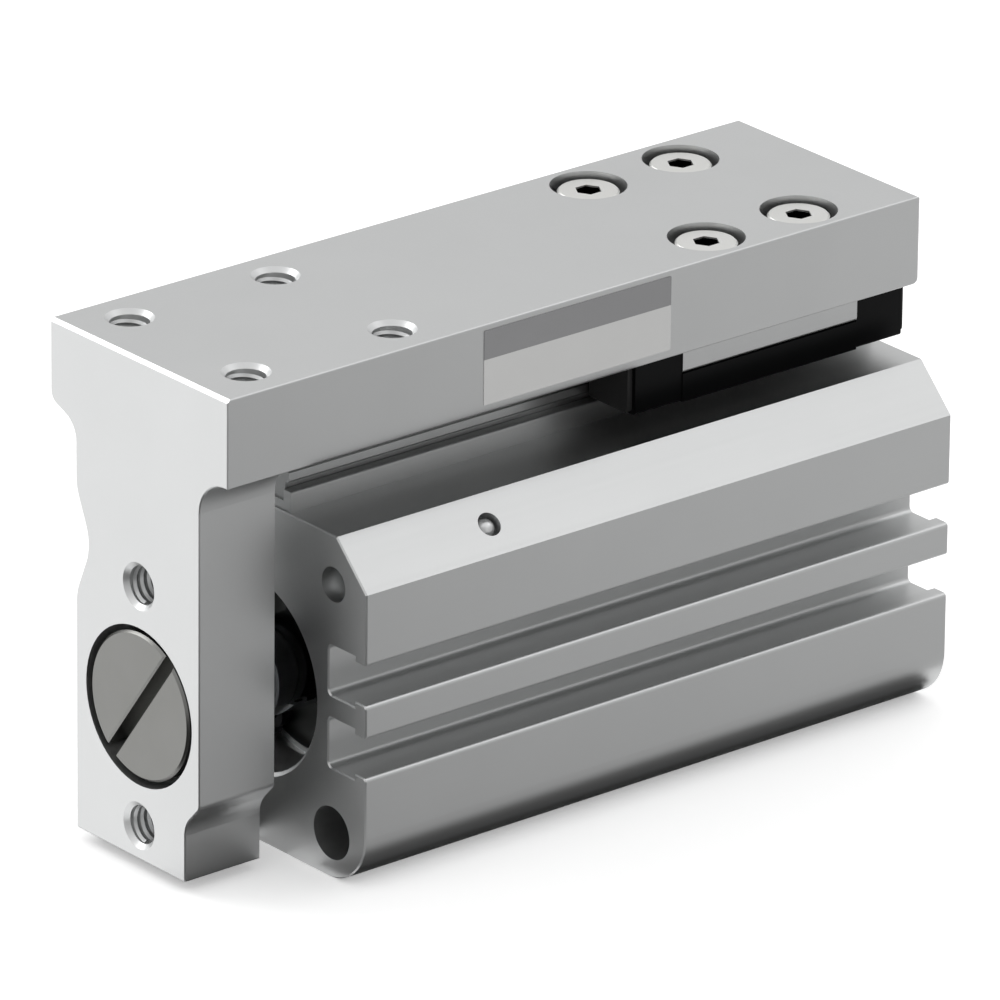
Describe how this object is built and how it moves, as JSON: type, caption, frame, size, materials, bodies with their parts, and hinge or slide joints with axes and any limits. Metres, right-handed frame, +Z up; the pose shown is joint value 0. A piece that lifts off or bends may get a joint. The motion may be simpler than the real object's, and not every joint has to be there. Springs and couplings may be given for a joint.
{
  "type": "guided pneumatic cylinder",
  "caption": "Compact air slide table: extruded cylinder body with switch grooves, rail-guided L-shaped table with an end plate tied to the piston rod; the table slides forward.",
  "frame": {"origin": "middle of the cylinder body's bottom face", "axes": "+X the way the table extends, +Y the side without the end plate's hollow, +Z up through the table"},
  "size_m": [0.0738, 0.03, 0.0447],
  "materials": {
    "anodised_aluminium": "clear anodised, matte",
    "turned_aluminium": "turned, clear anodised",
    "rail_steel": "ground",
    "block_steel": "ground",
    "screw_steel": "bright",
    "slotted_screw_steel": "satin turned",
    "chromed_rod": "hard chromed",
    "spring_steel": "phosphated",
    "ball_steel": "polished",
    "black_resin": "moulded",
    "black_rubber": "moulded",
    "urethane": "moulded",
    "bush_bronze": "sintered",
    "magnet": "plastic bonded ferrite",
    "wear_ring_resin": "moulded"
  },
  "bodies": {
    "cylinder": {"cylinder_body": "anodised_aluminium", "guide_rail": "rail_steel", "rail_screws": "screw_steel", "rod_cover": "turned_aluminium", "rod_bush": "bush_bronze", "rod_seal": "black_rubber", "rod_cover_o_ring": "black_rubber", "rod_cover_retaining_ring": "spring_steel", "rod_bumper": "urethane", "head_cover": "turned_aluminium", "head_cover_o_ring": "black_rubber", "head_cover_retaining_ring": "spring_steel", "head_bumper": "urethane", "passage_plug_balls": "ball_steel"},
    "table": {"slide_table": "anodised_aluminium", "guide_block": "block_steel", "front_end_cap": "black_resin", "rear_end_cap": "black_resin", "front_end_seal": "black_rubber", "rear_end_seal": "black_rubber", "end_cap_screws": "screw_steel", "left_ball_return": "black_resin", "right_ball_return": "black_resin", "guide_balls": "ball_steel", "block_screws": "screw_steel", "piston_rod": "chromed_rod", "piston": "turned_aluminium", "piston_seal": "black_rubber", "piston_magnet": "magnet", "wear_ring": "wear_ring_resin", "rod_end_screw": "slotted_screw_steel"}
  },
  "joints": [
    {"name": "table_slide", "type": "slide", "parent": "cylinder", "child": "table", "axis": [1, 0, 0], "range_m": [0, 0.02]}
  ]
}
